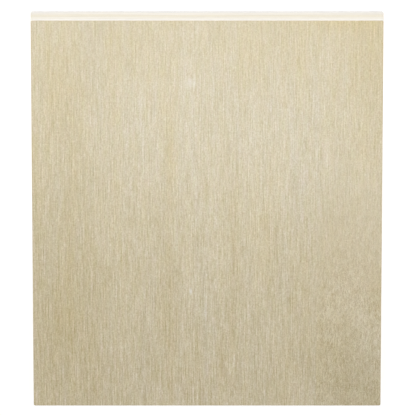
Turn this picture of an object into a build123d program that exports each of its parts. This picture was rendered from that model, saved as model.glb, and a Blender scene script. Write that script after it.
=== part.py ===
from build123d import *
import os

# Plywood sheet: five veneers glued one on another with their grain crossed, then sawn to size.
# Millimetres. The sheet lies flat, origin at the centre of its back face, +Y along the face grain, +Z up.

# Sheet as sawn
sheet_width = 400.0
sheet_length = 600.0

# Plies, from the outside in: both halves of the sheet mirror each other about the core
veneer_thickness = 2.6
crossband_thickness = 3.3
core_thickness = 4.2

# Sanded corners and edges
corner_radius = 2.0
arris_easing = 0.5

# Lay-up from the back up, an odd count so that the two outer grains run the same way
layup = [
    ("back_veneer", veneer_thickness),
    ("back_crossband", crossband_thickness),
    ("core_ply", core_thickness),
    ("face_crossband", crossband_thickness),
    ("face_veneer", veneer_thickness),
]

os.makedirs("parts", exist_ok=True)

# Each ply is seated on the one below it, so the glued faces meet and the sawn edges stay flush
seat_height = 0.0
for name, thickness in layup:
    with BuildPart() as ply:
        with BuildSketch(Plane.XY.offset(seat_height)):
            RectangleRounded(sheet_width, sheet_length, corner_radius)
        extrude(amount=thickness)

        # Only the two outer veneers have an open face, and the edge around it is eased
        if name == "back_veneer":
            fillet(ply.faces().sort_by(Axis.Z)[0].edges(), arris_easing)
        if name == "face_veneer":
            fillet(ply.faces().sort_by(Axis.Z)[-1].edges(), arris_easing)
    ply.part.label = name
    export_step(ply.part, f"parts/{name}.step")
    seat_height += thickness
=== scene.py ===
import math

import bmesh
import bpy
from mathutils import Matrix, Vector


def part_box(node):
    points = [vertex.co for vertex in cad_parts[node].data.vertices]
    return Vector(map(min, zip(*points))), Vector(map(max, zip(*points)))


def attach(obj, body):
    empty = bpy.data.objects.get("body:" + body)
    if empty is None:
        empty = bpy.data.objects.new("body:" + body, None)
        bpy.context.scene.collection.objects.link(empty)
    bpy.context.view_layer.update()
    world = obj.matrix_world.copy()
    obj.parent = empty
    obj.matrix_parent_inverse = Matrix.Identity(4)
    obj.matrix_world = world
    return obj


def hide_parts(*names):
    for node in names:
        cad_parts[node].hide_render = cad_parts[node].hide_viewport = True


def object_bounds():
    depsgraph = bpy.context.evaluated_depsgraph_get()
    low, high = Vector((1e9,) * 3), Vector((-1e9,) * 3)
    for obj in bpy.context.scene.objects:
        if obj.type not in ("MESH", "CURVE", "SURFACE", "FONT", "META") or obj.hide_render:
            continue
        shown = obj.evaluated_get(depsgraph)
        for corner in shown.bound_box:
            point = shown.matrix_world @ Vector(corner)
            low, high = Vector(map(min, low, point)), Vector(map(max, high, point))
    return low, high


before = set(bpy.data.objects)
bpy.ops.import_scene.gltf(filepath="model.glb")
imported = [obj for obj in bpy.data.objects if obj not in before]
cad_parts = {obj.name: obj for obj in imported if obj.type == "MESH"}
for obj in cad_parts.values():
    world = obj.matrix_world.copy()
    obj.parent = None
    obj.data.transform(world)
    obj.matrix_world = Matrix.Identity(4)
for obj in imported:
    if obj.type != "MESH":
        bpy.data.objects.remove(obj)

cadBox = [list(corner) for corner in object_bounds()]
low, high = (Vector(corner) for corner in cadBox)
sheetSize = high - low
mm = 0.001
noiseMiddle = 0.5  # what a noise averages
rampMiddle = 0.5  # the middle tone of a ramp, and the even mix of two
seedStep = (1.0, 2.3, 0.7)  # cells that one unit of seed moves a noise by: across, along and through
patchDepthMm = 1000  # placed patches reach right through the sheet
print("frame loaded, sheet", [round(side / mm, 1) for side in sheetSize], "mm")


# sRGB hex to the linear colour that the nodes take
def linearColor(hexCode):
    parts = [int(hexCode[i:i + 2], 16) / 255 for i in (1, 3, 5)]
    toLinear = [p / 12.92 if p <= 0.04045 else ((p + 0.055) / 1.055) ** 2.4 for p in parts]
    return (*toLinear, 1.0)


# adds one node: settings are its properties, inputs are plain values or the sockets to link from
def addNode(tree, kind, inputs=None, **settings):
    node = tree.nodes.new(kind)
    for name, value in settings.items():
        setattr(node, name, value)
    for name, value in (inputs or {}).items():
        if isinstance(value, bpy.types.NodeSocket):
            tree.links.new(value, node.inputs[name])
        else:
            node.inputs[name].default_value = value
    return node


def emptyTree(owner):
    owner.use_nodes = True
    owner.node_tree.nodes.clear()
    return owner.node_tree


def fillRamp(ramp, stops):
    while len(ramp.elements) < len(stops):
        ramp.elements.new(1.0)
    for element, (position, color) in zip(ramp.elements, stops):
        element.position = position
        element.color = linearColor(color)


# stretches the place so that one unit is the given size in mm across, along and through the sheet
def spreadPlace(tree, place, layer):
    across, along, through = (step * layer["seed"] for step in seedStep)
    return addNode(tree, "ShaderNodeMapping", {
        "Vector": place,
        "Location": (across, along + layer.get("slide", 0.0), through),
        "Scale": [1 / (side * mm) for side in layer["sizeMm"]],
    }).outputs[0]


# adds weighted noises to a running total, each centred on zero
def grainSum(tree, place, layers, total=0.0):
    for layer in layers:
        noise = addNode(tree, "ShaderNodeTexNoise", {
            "Vector": spreadPlace(tree, place, layer),
            "Scale": 1.0,
            "Detail": layer.get("detail", 0.0),
            "Distortion": layer.get("wriggle", 0.0),
        })
        centred = addNode(tree, "ShaderNodeMath", {0: noise.outputs[0], 1: noiseMiddle},
                          operation="SUBTRACT")
        total = addNode(tree, "ShaderNodeMath", {0: centred.outputs[0], 1: layer["weight"], 2: total},
                        operation="MULTIPLY_ADD").outputs[0]
    return total


# sawn poplar edge, left bare: dull, pale and painted paler still as painted light, with faint tan glue lines
# between the plies.
# All five plies are drawn as one section, so that the glue lines can wander, and on the long sides
# the crossbands show darker end grain. Rings and fibres are drawn 0.5 to 1 mm thick, coarser than
# real ones, to show.
edgeLook = {
    # painted light: the end colours are paler than the bare wood, for the strong light on the far edge
    "endColors": {
        "back_veneer": "#e2e0dc",
        "back_crossband": "#e4dfd5",
        "core_ply": "#e2dbca",
        "face_crossband": "#e6e1d5",
        "face_veneer": "#eae7df",
    },
    "sideColors": {
        # painted light: the back veneer's side colour is paler, to offset the contact shadow by the floor
        "back_veneer": "#f0eadc",
        "back_crossband": "#d2c3a3",
        "core_ply": "#e8e0cf",
        "face_crossband": "#d4c5a5",
        "face_veneer": "#e8e1d1",
    },
    "sideFacing": (0.9, 1.0),  # how squarely it looks sideways where the side colours begin and are full
    "glueColor": "#d2c8b6",
    "glueMm": 0.12,
    "wander": {"sizeMm": (90, 90, 90), "weight": 0.002, "seed": 4.1},  # up and down, in metres
    "rings": {"sizeMm": (110, 110, 0.55), "weight": 0.30, "seed": 7.7, "detail": 2.0},
    "fibresAlongX": {"sizeMm": (26, 0.9, 0.7), "weight": 0.16, "seed": 2.9, "detail": 1.0},
    "fibresAlongY": {"sizeMm": (0.9, 26, 0.7), "weight": 0.12, "seed": 2.9, "detail": 1.0},
    "roughness": 0.68,
    "bumpMm": 0.05,
}


def sawnEdge(tree, coords, fibres):
    place = coords.outputs["Object"]
    axes = addNode(tree, "ShaderNodeSeparateXYZ", {0: place})
    height = grainSum(tree, place, [edgeLook["wander"]], axes.outputs["Z"])
    share = addNode(tree, "ShaderNodeMath", {0: height, 1: sheetSize.z}, operation="DIVIDE")
    glueHalf = edgeLook["glueMm"] * mm / 2
    sections = []
    for colors in ("endColors", "sideColors"):
        stops = []
        for node, color in edgeLook[colors].items():
            bottom, top = (corner.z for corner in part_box(node))
            stops.append(((bottom + glueHalf) / sheetSize.z, color))
            stops.append(((top - glueHalf) / sheetSize.z, color))
            if top < high.z - glueHalf:
                stops.append((top / sheetSize.z, edgeLook["glueColor"]))
        section = addNode(tree, "ShaderNodeValToRGB", {"Fac": share.outputs[0]})
        fillRamp(section.color_ramp, stops)
        sections.append(section.outputs["Color"])
    normal = addNode(tree, "ShaderNodeSeparateXYZ", {0: coords.outputs["Normal"]})
    turned = addNode(tree, "ShaderNodeMath", {0: normal.outputs["X"]}, operation="ABSOLUTE")
    begins, full = edgeLook["sideFacing"]
    sideways = addNode(tree, "ShaderNodeMapRange", {
        "Value": turned.outputs[0], "From Min": begins, "From Max": full})
    color = addNode(tree, "ShaderNodeMix", {0: sideways.outputs[0], 6: sections[0], 7: sections[1]},
                    data_type="RGBA")
    grain = grainSum(tree, place, [edgeLook["rings"], edgeLook[fibres]])
    tone = addNode(tree, "ShaderNodeMath", {0: grain, 1: 1.0}, operation="ADD")
    color = addNode(tree, "ShaderNodeVectorMath", {0: color.outputs[2], 1: tone.outputs[0]},
                    operation="MULTIPLY")
    return color.outputs[0], grain


# bare poplar: a faint broad sheen, a little smoother where the grain is pale
woodLook = {"ior": 1.5, "roughnessByGrain": -0.1}


def woodSurface(tree, color, grain, look):
    rough = addNode(tree, "ShaderNodeMath", {
        0: grain, 1: woodLook["roughnessByGrain"], 2: look["roughness"]}, operation="MULTIPLY_ADD")
    bump = addNode(tree, "ShaderNodeBump", {"Distance": look["bumpMm"] * mm, "Height": grain})
    shader = addNode(tree, "ShaderNodeBsdfPrincipled", {
        "Base Color": color,
        "Roughness": rough.outputs[0],
        "IOR": woodLook["ior"],
        "Normal": bump.outputs[0],
    })
    addNode(tree, "ShaderNodeOutputMaterial", {"Surface": shader.outputs[0]})


# inner plies show only as sawn edge: dull, pale and painted paler as painted light, darker where the fibres
# end
def innerPly(name, fibres):
    material = bpy.data.materials.new(name)
    tree = emptyTree(material)
    color, grain = sawnEdge(tree, addNode(tree, "ShaderNodeTexCoord"), fibres)
    woodSurface(tree, color, grain, edgeLook)
    return material


# show face: peeled poplar veneer, sanded and bare: matt, with straight fibres in soft pale and tan bands.
# Real fibres and pores are under 0.1 mm wide, and they are drawn 1 to 2 mm wide so that they show.
# They are 4 mm through and have seeds in tens: the sheet and the jumps between leaves are then whole cells,
# so the face cuts these noises through the corners of their cells, where they are crispest.
faceLook = {
    "warmTones": [(0.0, "#bdab7b"), (0.5, "#d3c49c"), (1.0, "#e7d8b7")],
    "coolTones": [(0.0, "#cfc39c"), (0.5, "#e8dec5"), (1.0, "#fdf5e5")],
    "jointsMm": [-33, 125.5],  # where the leaves of veneer meet
    "wander": {"sizeMm": (70, 260, 9), "weight": 0.004, "seed": 2.2},  # sideways, in metres
    "pores": [  # slide moves a noise by part of its cell, so that cells of different lengths end apart
        {"sizeMm": (1.5, 1.3, 4), "weight": 0.30, "seed": 10, "slide": 0.3},
        {"sizeMm": (1.7, 2.6, 4), "weight": 0.23, "seed": 20, "slide": 0.6},
        {"sizeMm": (1.3, 5, 4), "weight": 0.22, "seed": 30, "slide": 0.9},
    ],
    "fibres": [
        {"sizeMm": (1.7, 10, 4), "weight": 0.38, "seed": 40, "slide": 0.2},
        {"sizeMm": (1.0, 20, 4), "weight": 0.50, "seed": 50, "slide": 0.55},
        {"sizeMm": (0.8, 40, 4), "weight": 0.40, "seed": 60, "slide": 0.8},
        {"sizeMm": (2.0, 40, 4), "weight": 0.28, "seed": 70, "slide": 0.35},
        {"sizeMm": (1.0, 80, 4), "weight": 0.54, "seed": 80, "slide": 0.1},
    ],
    "curl": [
        {"sizeMm": (0.85, 4.4, 3), "weight": 0.54, "seed": 12.1, "wriggle": 1.0},
        {"sizeMm": (1.6, 14, 3), "weight": 0.25, "seed": 14.8, "wriggle": 0.5},
        {"sizeMm": (1.0, 1.4, 3), "weight": 0.43, "seed": 18.3},
        {"sizeMm": (9, 16, 3), "weight": 0.13, "seed": 16.6, "wriggle": 0.8},
    ],
    "curlAt": {"last leaf": {"at": (165, -235), "half": (110, 370), "weight": 1.4}},
    # strength at the near and the far end
    "figure": {"fibres": (1.33, 0.68), "pores": (1.17, 0.84), "curl": (1.24, 0.79)},
    "bands": [
        {"sizeMm": (4, 80, 9), "weight": 0.08, "seed": 9.3},
        {"sizeMm": (9, 180, 9), "weight": 0.21, "seed": 3.6},
        {"sizeMm": (30, 420, 9), "weight": 0.13, "seed": 6.1},
    ],
    "placed": {  # places and half sizes in mm from the middle of the sheet: pale is above 0, tan below
        "cool middle": {"at": (24, 95), "half": (240, 280), "weight": 0.20},
        "cool upper right": {"at": (105, 120), "half": (80, 170), "weight": 0.10},
        "tan near half": {"at": (0, -170), "half": (400, 300), "weight": -0.08},
        "pale streak": {"at": (-22, 180), "half": (23, 260), "weight": 0.11},
        "pale thread": {"at": (-18, 140), "half": (9, 130), "weight": 0.08},
        "pale low streak": {"at": (-20, -210), "half": (17, 250), "weight": 0.12},
        "pale lower middle": {"at": (48, -240), "half": (60, 260), "weight": 0.06},
        "pale near end": {"at": (-20, -305), "half": (260, 45), "weight": 0.06},
        "pale middle": {"at": (4, -80), "half": (22, 300), "weight": 0.13},
        "pale right of middle": {"at": (42, 95), "half": (18, 80), "weight": 0.09},
        "pale upper left": {"at": (-75, 150), "half": (40, 150), "weight": 0.07},
        "tan left": {"at": (-165, -130), "half": (54, 400), "weight": -0.27},
        "tan left border": {"at": (-198, -60), "half": (22, 300), "weight": -0.09},
        "tan left line": {"at": (-157, -60), "half": (7, 250), "weight": -0.12},
        "brown low left": {"at": (-164, -178), "half": (30, 75), "weight": -0.16},
        "tan left of middle": {"at": (-128, -195), "half": (46, 210), "weight": -0.10},
        "tan upper left": {"at": (-172, 200), "half": (30, 120), "weight": -0.20},
        "tan middle": {"at": (-45, -20), "half": (12, 420), "weight": -0.20},
        "tan right of middle": {"at": (31, -60), "half": (8, 290), "weight": -0.20},
        "tan low middle": {"at": (16, -250), "half": (12, 130), "weight": -0.15},
        "tan upper right": {"at": (190, 230), "half": (36, 180), "weight": -0.22},
        "tan far edge": {"at": (160, 304), "half": (75, 48), "weight": -0.11},
        "brown near right": {"at": (142, -225), "half": (52, 120), "weight": -0.24},
        "brown past joint": {"at": (146, -70), "half": (24, 120), "weight": -0.14},
        "brown near corner": {"at": (200, -310), "half": (85, 125), "weight": -0.28},
        "brown right border": {"at": (196, -120), "half": (22, 75), "weight": -0.26},
        "pale slant": {"at": (169, -136), "half": (18, 130), "turn": 18.8, "weight": 0.06},
    },
    "flecks": [
        {"sizeMm": (2.2, 6, 3), "seed": 17.4, "weight": (0.034, 0.022, 0.056)},
        {"sizeMm": (7, 18, 3), "seed": 19.9, "weight": (0.032, 0.022, 0.072)},
    ],
    "threads": [{"sizeMm": (3.4, 42, 9), "weight": 0.10, "seed": 33.1}],
    "veils": [
        {"sizeMm": (9, 160, 9), "weight": 0.08, "seed": 35.7},
        {"sizeMm": (22, 280, 9), "weight": 0.05, "seed": 38.2},
    ],
    "hues": {  # grey is above 0, yellow below
        "yellow far edge": {"at": (165, 304), "half": (95, 34), "weight": -0.072},
        "yellow near half": {"at": (0, -330), "half": (600, 480), "weight": -0.027},
        "grey upper middle": {"at": (55, 165), "half": (120, 95), "weight": 0.026},
        "grey upper left": {"at": (-129, 245), "half": (24, 140), "weight": 0.045},
        "grey past joint": {"at": (114, 60), "half": (42, 200), "weight": 0.026},
        "yellow right border": {"at": (184, 95), "half": (32, 90), "weight": -0.026},
        "yellow thread": {"at": (60, -50), "half": (18, 150), "weight": -0.040},
        "yellow middle": {"at": (-42, 160), "half": (18, 240), "weight": -0.035},
        "yellow pale streak": {"at": (-20, 0), "half": (16, 330), "weight": -0.018},
        "yellow left": {"at": (-129, -60), "half": (20, 160), "weight": -0.020},
        "grey low middle": {"at": (8, -190), "half": (16, 90), "weight": 0.030},
    },
    "stainsAndShade": {
        "warm near half": {"at": (0, -330), "half": (600, 480), "weight": 0.5, "color": "#fffeff"},
        "pink last leaf": {"at": (165, -80), "half": (60, 150), "weight": 0.6, "color": "#fffdff"},
        "grey near corner": {"at": (178, -278), "half": (75, 150), "weight": 1.0, "color": "#f5f5f5"},
        # painted shade: a thin darker line along the near border, where the arris turns away from the lamps
        "dark near border": {"at": (0, -300), "half": (900, 2.2), "weight": 1.0, "color": "#eeebe2"},
        "pale mark": {
            "at": (-19, 204), "half": (16, 11), "weight": 0.28, "color": "#f9f5ec", "blend": "MIX"},
        "pale speck": {
            "at": (-18.3, -119.5), "half": (3, 8), "weight": 0.7, "color": "#f9f5ec", "blend": "MIX"},
    },
    "burnish": {"color": "#b89c6c", "insideMm": 1.8, "outsideMm": 0.4, "weight": 0.20, "arris": 0.40},
    "roughness": 0.6,
    "bumpMm": 0.035,
}

# back face: the same veneer in a plainer grade, a little greyer
backLook = {
    "warmTones": [(0.0, "#b3a47d"), (0.5, "#c6ba9a"), (1.0, "#d9ceb4")],
    "coolTones": [(0.0, "#c5ba98"), (0.5, "#dcd3bd"), (1.0, "#f0e9db")],
    "jointsMm": [-92, 60],
    "wander": {"sizeMm": (70, 260, 9), "weight": 0.006, "seed": 12.2},
    "pores": [
        {"sizeMm": (1.1, 1.5, 3), "weight": 0.32, "seed": 14.7},
        {"sizeMm": (0.75, 5, 3), "weight": 0.28, "seed": 11.3},
    ],
    "fibres": [
        {"sizeMm": (1.1, 9, 3), "weight": 0.40, "seed": 12.8},
        {"sizeMm": (0.9, 28, 3), "weight": 0.46, "seed": 15.2},
        {"sizeMm": (1.3, 70, 3), "weight": 0.50, "seed": 18.4},
    ],
    "curl": [
        {"sizeMm": (1.1, 4.6, 3), "weight": 0.56, "seed": 22.1, "wriggle": 0.9},
        {"sizeMm": (4, 9, 3), "weight": 0.2, "seed": 24.8, "wriggle": 0.6},
    ],
    "curlAt": {"last leaf": {"at": (120, 180), "half": (50, 150), "weight": 1.0}},
    "figure": {"fibres": (1.0, 1.0), "pores": (1.0, 1.0), "curl": (1.0, 1.0)},
    "bands": [
        {"sizeMm": (5, 80, 9), "weight": 0.36, "seed": 19.3},
        {"sizeMm": (13, 190, 9), "weight": 0.6, "seed": 13.6},
        {"sizeMm": (40, 420, 9), "weight": 0.5, "seed": 16.1},
    ],
    "placed": {},
    "flecks": [
        {"sizeMm": (2.2, 6, 3), "seed": 27.4, "weight": (0.034, 0.022, 0.056)},
        {"sizeMm": (7, 18, 3), "seed": 29.9, "weight": (0.032, 0.022, 0.072)},
    ],
    "threads": [{"sizeMm": (4, 60, 9), "weight": 0.10, "seed": 43.1}],
    "veils": [{"sizeMm": (16, 220, 9), "weight": 0.12, "seed": 45.7}],
    "hues": {},
    "stainsAndShade": {},
    "burnish": {"color": "#b89c6c", "insideMm": 1.8, "outsideMm": 0.4, "weight": 0.20, "arris": 0.20},
    "roughness": 0.64,
    "bumpMm": 0.04,
}


# adds soft ellipses, full at the middle and nothing at the rim, to a running total
def placedSum(tree, place, placed, total=0.0):
    for patch in placed.values():
        fit = addNode(tree, "ShaderNodeMapping", {
            "Vector": place,
            "Location": [side * mm for side in (*patch["at"], 0)],
            "Rotation": (0, 0, math.radians(patch.get("turn", 0))),
            "Scale": [side * mm for side in (*patch["half"], patchDepthMm)],
        }, vector_type="TEXTURE")
        cone = addNode(tree, "ShaderNodeTexGradient", {0: fit.outputs[0]}, gradient_type="SPHERICAL")
        soft = addNode(tree, "ShaderNodeMapRange", {"Value": cone.outputs["Fac"]},
                       interpolation_type="SMOOTHSTEP")
        total = addNode(tree, "ShaderNodeMath", {0: soft.outputs[0], 1: patch["weight"], 2: total},
                        operation="MULTIPLY_ADD").outputs[0]
    return total


# nearness to the border of the sheet, 1 on the arris and 0 on the open face
def borderNear(tree, axes, look):
    inset = None
    for axis, side in (("X", sheetSize.x), ("Y", sheetSize.y)):
        out = addNode(tree, "ShaderNodeMath", {0: axes.outputs[axis]}, operation="ABSOLUTE")
        gap = addNode(tree, "ShaderNodeMath", {0: side / 2, 1: out.outputs[0]}, operation="SUBTRACT")
        inset = gap if inset is None else addNode(
            tree, "ShaderNodeMath", {0: inset.outputs[0], 1: gap.outputs[0]}, operation="MINIMUM")
    return addNode(tree, "ShaderNodeMapRange", {
        "Value": inset.outputs[0],
        "From Min": look["insideMm"] * mm,
        "From Max": look["outsideMm"] * mm,
        "To Max": look["weight"],
    }, interpolation_type="SMOOTHSTEP").outputs[0]


# what both faces share: tints of red, green and blue by kind of grain, the way that the fibres' cells slant,
# and how squarely the surface looks out of the sheet where the arris and the open face begin and are full
veneerLook = {
    "tints": {
        "pores": (0.78, 1.0, 1.50),
        "curl": (0.83, 1.0, 1.42),
        "threads": (0.25, 0.0, 1.0),
        "veils": (-0.3, 0.0, 1.0),
    },
    "fibreSlant": 0.8,  # mm along for each mm across, so that the cells don't end in rows
    "facing": {"arris": (0.05, 0.45), "face": (0.80, 0.97)},
}


def outerVeneer(name, look, faceUp):
    material = bpy.data.materials.new(name)
    tree = emptyTree(material)
    coords = addNode(tree, "ShaderNodeTexCoord")
    place = coords.outputs["Object"]
    axes = addNode(tree, "ShaderNodeSeparateXYZ", {0: place})

    # each leaf of veneer has its own grain: past a joint the noise jumps to another layer
    leaf = 0.0
    for joint in look["jointsMm"]:
        past = addNode(tree, "ShaderNodeMath", {0: axes.outputs["X"], 1: joint * mm},
                       operation="GREATER_THAN").outputs[0]
        leaf = addNode(tree, "ShaderNodeMath", {0: past, 1: leaf}, operation="ADD").outputs[0]
    lastLeaf = past
    drift = addNode(tree, "ShaderNodeCombineXYZ", {"X": grainSum(tree, place, [look["wander"]])})
    sheetPlace = addNode(tree, "ShaderNodeVectorMath", {0: place, 1: drift.outputs[0]},
                         operation="ADD").outputs[0]
    jump = addNode(tree, "ShaderNodeCombineXYZ", {"Z": leaf})
    leafPlace = addNode(tree, "ShaderNodeVectorMath", {0: sheetPlace, 1: jump.outputs[0]},
                        operation="ADD").outputs[0]
    slant = addNode(tree, "ShaderNodeMath", {0: axes.outputs["X"], 1: veneerLook["fibreSlant"]},
                    operation="MULTIPLY")
    shift = addNode(tree, "ShaderNodeCombineXYZ", {"Y": slant.outputs[0]})
    fibrePlace = addNode(tree, "ShaderNodeVectorMath", {0: leafPlace, 1: shift.outputs[0]},
                         operation="ADD").outputs[0]

    # straight fibres and pores, curly in part of the last leaf, and stronger or weaker from end to end
    curly = addNode(tree, "ShaderNodeMath", {0: placedSum(tree, place, look["curlAt"]), 1: lastLeaf},
                    operation="MULTIPLY").outputs[0]
    amounts = {}
    grain = 0.0
    for kind, (near, far) in look["figure"].items():
        drawn = grainSum(tree, fibrePlace if kind == "fibres" else leafPlace, look[kind])
        straight, curled = (0.0, drawn) if kind == "curl" else (drawn, 0.0)
        shown = addNode(tree, "ShaderNodeMix", {0: curly, 2: straight, 3: curled}, clamp_factor=True)
        strength = addNode(tree, "ShaderNodeMapRange", {
            "Value": axes.outputs["Y"],
            "From Min": low.y,
            "From Max": high.y,
            "To Min": near,
            "To Max": far,
        })
        amounts[kind] = addNode(tree, "ShaderNodeMath", {0: shown.outputs[0], 1: strength.outputs[0]},
                                operation="MULTIPLY").outputs[0]
        grain = addNode(tree, "ShaderNodeMath", {0: amounts[kind], 1: grain}, operation="ADD").outputs[0]
    tone = addNode(tree, "ShaderNodeMath", {0: amounts["fibres"], 1: rampMiddle}, operation="ADD")

    # broad bands pass between tan and cool pale wood
    band = grainSum(tree, leafPlace, look["bands"], rampMiddle)
    band = placedSum(tree, sheetPlace, look["placed"], band)
    ramps = []
    for tones in ("warmTones", "coolTones"):
        ramp = addNode(tree, "ShaderNodeValToRGB", {"Fac": tone.outputs[0]})
        fillRamp(ramp.color_ramp, look[tones])
        ramps.append(ramp.outputs["Color"])
    color = addNode(tree, "ShaderNodeMix", {0: band, 6: ramps[0], 7: ramps[1]},
                    data_type="RGBA", clamp_factor=True).outputs[2]

    # pores and curl darken and yellow the wood, threads and long veils mostly turn it from yellow to grey
    for kind in ("threads", "veils"):
        drawn = grainSum(tree, leafPlace, look[kind])
        amounts[kind] = addNode(tree, "ShaderNodeMix", {0: curly, 2: drawn, 3: 0.0},
                                clamp_factor=True).outputs[0]
    amounts["veils"] = placedSum(tree, sheetPlace, look["hues"], amounts["veils"])
    for kind, tint in veneerLook["tints"].items():
        shade = addNode(tree, "ShaderNodeVectorMath", {0: amounts[kind], 1: tint, 2: (1, 1, 1)},
                        operation="MULTIPLY_ADD")
        color = addNode(tree, "ShaderNodeVectorMath", {0: color, 1: shade.outputs[0]},
                        operation="MULTIPLY").outputs[0]

    # soft stains and marks, and a painted shade along the near border
    for mark, stainOrShade in look["stainsAndShade"].items():
        color = addNode(tree, "ShaderNodeMix", {
            0: placedSum(tree, sheetPlace, {mark: stainOrShade}), 6: color, 7: linearColor(stainOrShade["color"])},
            data_type="RGBA", blend_type=stainOrShade.get("blend", "MULTIPLY")).outputs[2]

    # faint pink and green flecks
    for layer in look["flecks"]:
        noise = addNode(tree, "ShaderNodeTexNoise", {
            "Vector": spreadPlace(tree, leafPlace, layer), "Scale": 1.0, "Detail": 0.0})
        centred = addNode(tree, "ShaderNodeVectorMath", {0: noise.outputs["Color"], 1: [noiseMiddle] * 3},
                          operation="SUBTRACT")
        fleck = addNode(tree, "ShaderNodeVectorMath", {
            0: centred.outputs[0], 1: layer["weight"], 2: (1, 1, 1)}, operation="MULTIPLY_ADD")
        color = addNode(tree, "ShaderNodeVectorMath", {0: color, 1: fleck.outputs[0]},
                        operation="MULTIPLY").outputs[0]

    # sanding darkens the border a little
    burnish = look["burnish"]
    color = addNode(tree, "ShaderNodeMix", {
        0: borderNear(tree, axes, burnish), 6: color, 7: linearColor(burnish["color"])},
        data_type="RGBA").outputs[2]

    # the open face is where the surface looks straight out, then come the burnished arris and the sawn edge
    normal = addNode(tree, "ShaderNodeSeparateXYZ", {0: coords.outputs["Normal"]})
    shares = {}
    for zone, most in (("face", 1.0), ("arris", burnish["arris"])):
        begins, full = veneerLook["facing"][zone]
        shares[zone] = addNode(tree, "ShaderNodeMapRange", {
            "Value": normal.outputs["Z"],
            "From Min": begins * faceUp,
            "From Max": full * faceUp,
            "To Max": most,
        }).outputs[0]
    edgeColor = sawnEdge(tree, coords, "fibresAlongY")[0]
    edgeColor = addNode(tree, "ShaderNodeMix", {
        0: shares["arris"], 6: edgeColor, 7: linearColor(burnish["color"])}, data_type="RGBA").outputs[2]
    color = addNode(tree, "ShaderNodeMix", {0: shares["face"], 6: edgeColor, 7: color},
                    data_type="RGBA").outputs[2]
    woodSurface(tree, color, grain, look)
    return material


finishes = {
    "face_veneer": outerVeneer("sandedPoplarFace", faceLook, 1),
    "crossband": innerPly("sawnPoplarCrossband", "fibresAlongX"),
    "core_ply": innerPly("sawnPoplarCore", "fibresAlongY"),
    "back_veneer": outerVeneer("sandedPoplarBack", backLook, -1),
}
print("finishes ready:", len(finishes))


# the plies themselves, with the relief that sanding and sawing leave: soft grain lies below hard grain;
# its hollows are wider than real ones, so that the mesh can carry them
plyLook = {
    "plies": {
        "back_veneer": {
            "piece": "backVeneer", "slot": "back_veneer", "openSide": -1, "grain": "Y", "seed": 5.0},
        "back_crossband": {
            "piece": "backCrossband", "slot": "crossband", "openSide": 0, "grain": "X", "seed": 11.0},
        "core_ply": {
            "piece": "corePly", "slot": "core_ply", "openSide": 0, "grain": "Y", "seed": 17.0},
        "face_crossband": {
            "piece": "faceCrossband", "slot": "crossband", "openSide": 0, "grain": "X", "seed": 23.0},
        "face_veneer": {
            "piece": "faceVeneer", "slot": "face_veneer", "openSide": 1, "grain": "Y", "seed": 29.0},
    },
    "faceCellMm": (0.93, 3.1),
    "edgeCellMm": (0.7, 0.7),
    "cornerRadiusMm": 2.0,
    "cornerSteps": 6,
    "arrisMm": 0.5,
    "arrisSteps": 3,
    "flatRimMm": 0.1,
    "edgeRowShares": [0.0, 0.06, 0.22, 0.41, 0.59, 0.78, 0.94, 1.0],
    "veneerRowShares": [0.25, 0.5, 0.75, 0.92, 1.0],
    "glueGrooveMm": 0.04,
    "faceDepthMm": 0.05,
    "endGrainMm": 0.10,
    "longGrainMm": 0.05,
    "fibreMm": {"Y": (2.6, 22, 1.3), "X": (22, 2.6, 1.3)},
    "bandMm": {"Y": (9, 120, 5), "X": (120, 9, 5)},
    "bandShare": 0.4,
    "noiseRange": (0.25, 0.75),  # noise that leaves the wood untouched, and noise that sinks it fully
    "sharpDegrees": 40,
}


# walks round the sheet: a cell of the flat middle, and the way that the rounded outline looks from there
def sheetWalk(cells):
    corners = [(0, 0), (cells[0], 0), cells, (0, cells[1])]
    walk = []
    for side, start in enumerate(corners):
        end = corners[(side + 1) % 4]
        facing = math.radians(90 * side - 90)
        steps = cells[side % 2]
        for step in range(1, steps):
            walk.append((tuple(a + (b - a) * step // steps for a, b in zip(start, end)), facing))
        for step in range(plyLook["cornerSteps"] + 1):
            walk.append((end, facing + math.radians(90) * step / plyLook["cornerSteps"]))
    return walk


# rows of the ply's section, from its open face or its underside to the far side:
# how far each reaches, how high it lies and how far the surface leans
def plyRows(bottom, top, openSide):
    radius, arris, groove = (plyLook[name] * mm for name in ("cornerRadiusMm", "arrisMm", "glueGrooveMm"))
    if not openSide:
        shares = plyLook["edgeRowShares"]
        return [(radius - groove * (share in (0.0, 1.0)), bottom + (top - bottom) * share, math.pi / 2)
                for share in shares]
    face, glued = (top, bottom) if openSide > 0 else (bottom, top)
    rows = [(radius - arris - plyLook["flatRimMm"] * mm, face, 0.0), (radius - arris, face, 0.0)]
    for step in range(1, plyLook["arrisSteps"] + 1):
        lean = math.pi / 2 * step / plyLook["arrisSteps"]
        reach = radius - arris * (1 - math.sin(lean))
        height = face - openSide * arris * (1 - math.cos(lean))
        rows.append((reach, height, lean))
    wallTop = rows[-1][1]
    for share in plyLook["veneerRowShares"]:
        rows.append((radius - groove * (share == 1.0), wallTop + (glued - wallTop) * share, math.pi / 2))
    return rows


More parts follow.
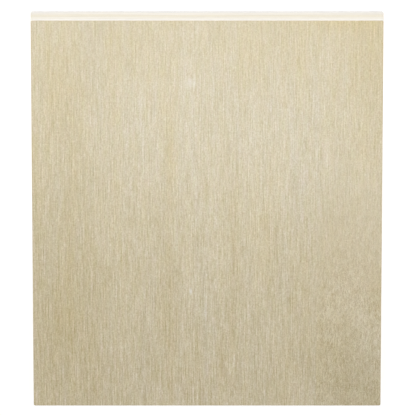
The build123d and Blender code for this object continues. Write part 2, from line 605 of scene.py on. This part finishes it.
# closed slab with a fine grid on its open face: each point carries the way out of the wood,
# and how deep it may sink
def plyBlank(node, ply):
    bottom, top = (corner.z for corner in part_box(node))
    radius = plyLook["cornerRadiusMm"] * mm
    half = (sheetSize.x / 2 - radius, sheetSize.y / 2 - radius)
    wanted = plyLook["faceCellMm"] if ply["openSide"] else plyLook["edgeCellMm"]
    cells = tuple(round(2 * side / (cell * mm)) for side, cell in zip(half, wanted))
    blank = bmesh.new()
    outward = blank.verts.layers.float_vector.new("outward")
    depth = blank.verts.layers.float.new("depth")
    endFacing = math.pi / 2 if ply["grain"] == "Y" else 0.0

    def point(cell, facing, reach, height, lean):
        side = Vector((math.cos(facing), math.sin(facing), 0))
        flat = Vector([2 * h * c / n - h for h, c, n in zip(half, cell, cells)] + [height])
        vert = blank.verts.new(flat + side * reach)
        vert[outward] = side * math.sin(lean) + Vector((0, 0, ply["openSide"] * math.cos(lean)))
        endShare = math.cos(facing - endFacing) ** 2
        edge = plyLook["longGrainMm"] + (plyLook["endGrainMm"] - plyLook["longGrainMm"]) * endShare
        faceShare = math.cos(lean) ** 2
        vert[depth] = (plyLook["faceDepthMm"] * faceShare + edge * (1 - faceShare)) * mm
        return vert

    walk = sheetWalk(cells)
    rows = plyRows(bottom, top, ply["openSide"])
    rings = [[point(cell, facing, *row) for cell, facing in walk] for row in rows]
    if ply["openSide"]:
        face = top if ply["openSide"] > 0 else bottom
        grid = [[point((i, j), 0.0, 0.0, face, 0.0) for j in range(cells[1] + 1)]
                for i in range(cells[0] + 1)]
        for i in range(cells[0]):
            for j in range(cells[1]):
                blank.faces.new((grid[i][j], grid[i + 1][j], grid[i + 1][j + 1], grid[i][j + 1]))
        rings.insert(0, [grid[i][j] for (i, j), facing in walk])
    else:
        blank.faces.new(rings[0])
    for inner, outer in zip(rings, rings[1:]):
        for a in range(len(walk)):
            b = (a + 1) % len(walk)
            corners = [outer[a], outer[b], inner[b]] + ([inner[a]] if inner[a] != inner[b] else [])
            blank.faces.new(corners)
    blank.faces.new(rings[-1])
    bmesh.ops.recalc_face_normals(blank, faces=blank.faces)
    mesh = bpy.data.meshes.new(ply["piece"])
    blank.to_mesh(mesh)
    blank.free()
    return mesh


# Geometry Nodes: sinks each point along its own way out of the wood by two noises that run with the grain
def grainRelief():
    tree = bpy.data.node_groups.new("grainRelief", "GeometryNodeTree")
    inputs = {"Geometry": "Geometry", "Fibre Size": "Vector", "Band Size": "Vector", "Band Share": "Float",
              "Seed": "Float", "Finish": "Material"}
    for name, kind in inputs.items():
        tree.interface.new_socket(name, in_out="INPUT", socket_type="NodeSocket" + kind)
    tree.interface.new_socket("Geometry", in_out="OUTPUT", socket_type="NodeSocketGeometry")
    given = addNode(tree, "NodeGroupInput").outputs
    place = addNode(tree, "GeometryNodeInputPosition").outputs[0]
    untouched, deepest = plyLook["noiseRange"]
    hollows = []
    for size in ("Fibre Size", "Band Size"):
        spread = addNode(tree, "ShaderNodeVectorMath", {0: place, 1: given[size]}, operation="DIVIDE")
        moved = addNode(tree, "ShaderNodeVectorMath", {0: spread.outputs[0], 1: given["Seed"]},
                        operation="ADD")
        noise = addNode(tree, "ShaderNodeTexNoise", {
            "Vector": moved.outputs[0], "Scale": 1.0, "Detail": 1.0})
        hollows.append(addNode(tree, "ShaderNodeMapRange", {
            "Value": noise.outputs[0], "From Min": untouched, "From Max": deepest}).outputs[0])
    hollow = addNode(tree, "ShaderNodeMix", {0: given["Band Share"], 2: hollows[0], 3: hollows[1]})
    outward = addNode(tree, "GeometryNodeInputNamedAttribute", {"Name": "outward"},
                      data_type="FLOAT_VECTOR")
    depth = addNode(tree, "GeometryNodeInputNamedAttribute", {"Name": "depth"}, data_type="FLOAT")
    sunk = addNode(tree, "ShaderNodeMath", {0: hollow.outputs[0], 1: depth.outputs[0]},
                   operation="MULTIPLY")
    inward = addNode(tree, "ShaderNodeVectorMath", {0: outward.outputs[0], 1: (-1, -1, -1)},
                     operation="MULTIPLY")
    offset = addNode(tree, "ShaderNodeVectorMath", {0: inward.outputs[0], "Scale": sunk.outputs[0]},
                     operation="SCALE")
    shape = addNode(tree, "GeometryNodeSetPosition", {
        "Geometry": given["Geometry"], "Offset": offset.outputs[0]}).outputs[0]
    for name in ("outward", "depth"):
        shape = addNode(tree, "GeometryNodeRemoveAttribute", {"Geometry": shape, "Name": name}).outputs[0]
    shape = addNode(tree, "GeometryNodeRealizeInstances", {"Geometry": shape}).outputs[0]
    shape = addNode(tree, "GeometryNodeSetMaterial", {
        "Geometry": shape, "Material": given["Finish"]}).outputs[0]
    addNode(tree, "NodeGroupOutput", {"Geometry": shape})
    return tree


def makePly(node, ply, tree):
    piece = bpy.data.objects.new(ply["piece"], plyBlank(node, ply))
    bpy.context.scene.collection.objects.link(piece)
    relief = piece.modifiers.new("grainRelief", "NODES")
    relief.node_group = tree
    values = {
        "Fibre Size": [side * mm for side in plyLook["fibreMm"][ply["grain"]]],
        "Band Size": [side * mm for side in plyLook["bandMm"][ply["grain"]]],
        "Band Share": plyLook["bandShare"],
        "Seed": ply["seed"],
        "Finish": finishes[ply["slot"]],
    }
    for item in tree.interface.items_tree:
        if item.in_out == "INPUT" and item.name in values:
            relief[item.identifier] = values[item.name]
    ready = piece.evaluated_get(bpy.context.evaluated_depsgraph_get())
    mesh = bpy.data.meshes.new_from_object(ready)
    piece.modifiers.remove(relief)
    piece.data = mesh
    mesh.shade_smooth()
    mesh.set_sharp_from_angle(angle=math.radians(plyLook["sharpDegrees"]))
    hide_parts(node)
    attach(piece, "root")
    mesh.calc_loop_triangles()
    return len(mesh.loop_triangles)


reliefTree = grainRelief()
triangles = [makePly(node, ply, reliefTree) for node, ply in plyLook["plies"].items()]
print("plies made, triangles", triangles)


# plain white studio, in metres and watts: a matt pale floor, even light all round, broad lamps above
# the sheet and beyond its far edge, and low fills on the other sides
studioLook = {
    "floorColor": "#e6e6e6",
    "floorSide": 12.0,
    "floorDrop": 0.0002,
    "floorFill": 0.50,
    "ambient": 0.552,
    "lamps": {
        "overheadLamp": {"power": 1.46, "size": (1.5, 0.3), "at": (0.0, 0.27, 0.5), "aim": (0.0, 0.22, 0.0)},
        "edgeLamp": {"power": 6.0, "size": (1.2, 0.3), "at": (0.0, 1.3, 0.25), "aim": (0.0, 0.3, 0.0)},
        "nearFill": {"power": 9.0, "size": (1.6, 0.06), "at": (0.0, -1.5, 0.04), "aim": (0.0, -0.3, 0.01)},
        "leftFill": {"power": 5.0, "size": (1.6, 0.1), "at": (-1.4, 0.0, 0.07), "aim": (-0.2, 0.0, 0.01)},
        "rightFill": {"power": 5.0, "size": (1.6, 0.1), "at": (1.4, 0.0, 0.07), "aim": (0.2, 0.0, 0.01)},
    },
}


# what the eye sees directly or in a reflection
def seenRays(tree):
    path = addNode(tree, "ShaderNodeLightPath")
    seen = path.outputs["Is Camera Ray"]
    for kind in ("Is Glossy Ray", "Is Transmission Ray"):
        seen = addNode(tree, "ShaderNodeMath", {0: seen, 1: path.outputs[kind]},
                       operation="MAXIMUM").outputs[0]
    return seen


def studio(look):
    half = look["floorSide"] / 2
    mesh = bpy.data.meshes.new("floor")
    corners = [(-half, -half), (half, -half), (half, half), (-half, half)]
    mesh.from_pydata([(x, y, low.z - look["floorDrop"]) for x, y in corners], [], [(0, 1, 2, 3)])
    floor = bpy.data.objects.new("floor", mesh)
    bpy.context.scene.collection.objects.link(floor)
    paint = bpy.data.materials.new("mattWhiteFloor")
    tree = emptyTree(paint)
    matt = addNode(tree, "ShaderNodeBsdfDiffuse", {"Color": linearColor(look["floorColor"])})
    fill = addNode(tree, "ShaderNodeMath", {0: seenRays(tree), 1: look["floorFill"]}, operation="MULTIPLY")
    glow = addNode(tree, "ShaderNodeEmission", {"Strength": fill.outputs[0]})
    both = addNode(tree, "ShaderNodeAddShader", {0: matt.outputs[0], 1: glow.outputs[0]})
    addNode(tree, "ShaderNodeOutputMaterial", {"Surface": both.outputs[0]})
    mesh.materials.append(paint)

    world = bpy.data.worlds.new("studio")
    bpy.context.scene.world = world
    tree = emptyTree(world)
    strength = addNode(tree, "ShaderNodeMath", {
        0: seenRays(tree), 1: 1.0 - look["ambient"], 2: look["ambient"]}, operation="MULTIPLY_ADD")
    sky = addNode(tree, "ShaderNodeBackground", {"Color": (1, 1, 1, 1), "Strength": strength.outputs[0]})
    addNode(tree, "ShaderNodeOutputWorld", {"Surface": sky.outputs[0]})

    for name, lamp in look["lamps"].items():
        light = bpy.data.lights.new(name, "AREA")
        light.shape = "RECTANGLE"
        light.size, light.size_y = lamp["size"]
        light.energy = lamp["power"]
        holder = bpy.data.objects.new(name, light)
        holder.location = lamp["at"]
        aim = Vector(lamp["aim"]) - Vector(lamp["at"])
        holder.rotation_euler = aim.to_track_quat("-Z", "Y").to_euler()
        holder.visible_camera = False
        bpy.context.scene.collection.objects.link(holder)
    bpy.context.scene.view_settings.view_transform = "Standard"


studio(studioLook)
print("studio lit")


# far camera with a long lens, so that the sheet's sides stay nearly parallel: it looks down from beyond
# the far edge, which is at the top of the picture; sizes and places in the picture are in pixels
cameraLook = {
    "lensMm": 1700,
    "tiltDegrees": 42.8,
    "imageSide": 416,
    "sheetWide": 350.0,
    "faceCentre": (207.1, 214.93),
}


def placeCamera(look):
    data = bpy.data.cameras.new("camera")
    data.lens = look["lensMm"]
    tilt = math.radians(look["tiltDegrees"])
    back = Vector((0, math.sin(tilt), math.cos(tilt)))
    right = Vector((1, 0, 0))
    up = back.cross(right)
    perPixel = sheetSize.x / look["sheetWide"]
    offX, offY = (perPixel * (pixel - look["imageSide"] / 2) for pixel in look["faceCentre"])
    target = Vector((0, 0, high.z)) - right * offX + up * offY
    distance = look["imageSide"] * perPixel * data.lens / data.sensor_width
    camera = bpy.data.objects.new("camera", data)
    place = Matrix((right, up, back)).transposed().to_4x4()
    place.translation = target + back * distance
    camera.matrix_world = place
    bpy.context.scene.collection.objects.link(camera)
    bpy.context.scene.camera = camera


placeCamera(cameraLook)
print("camera placed")
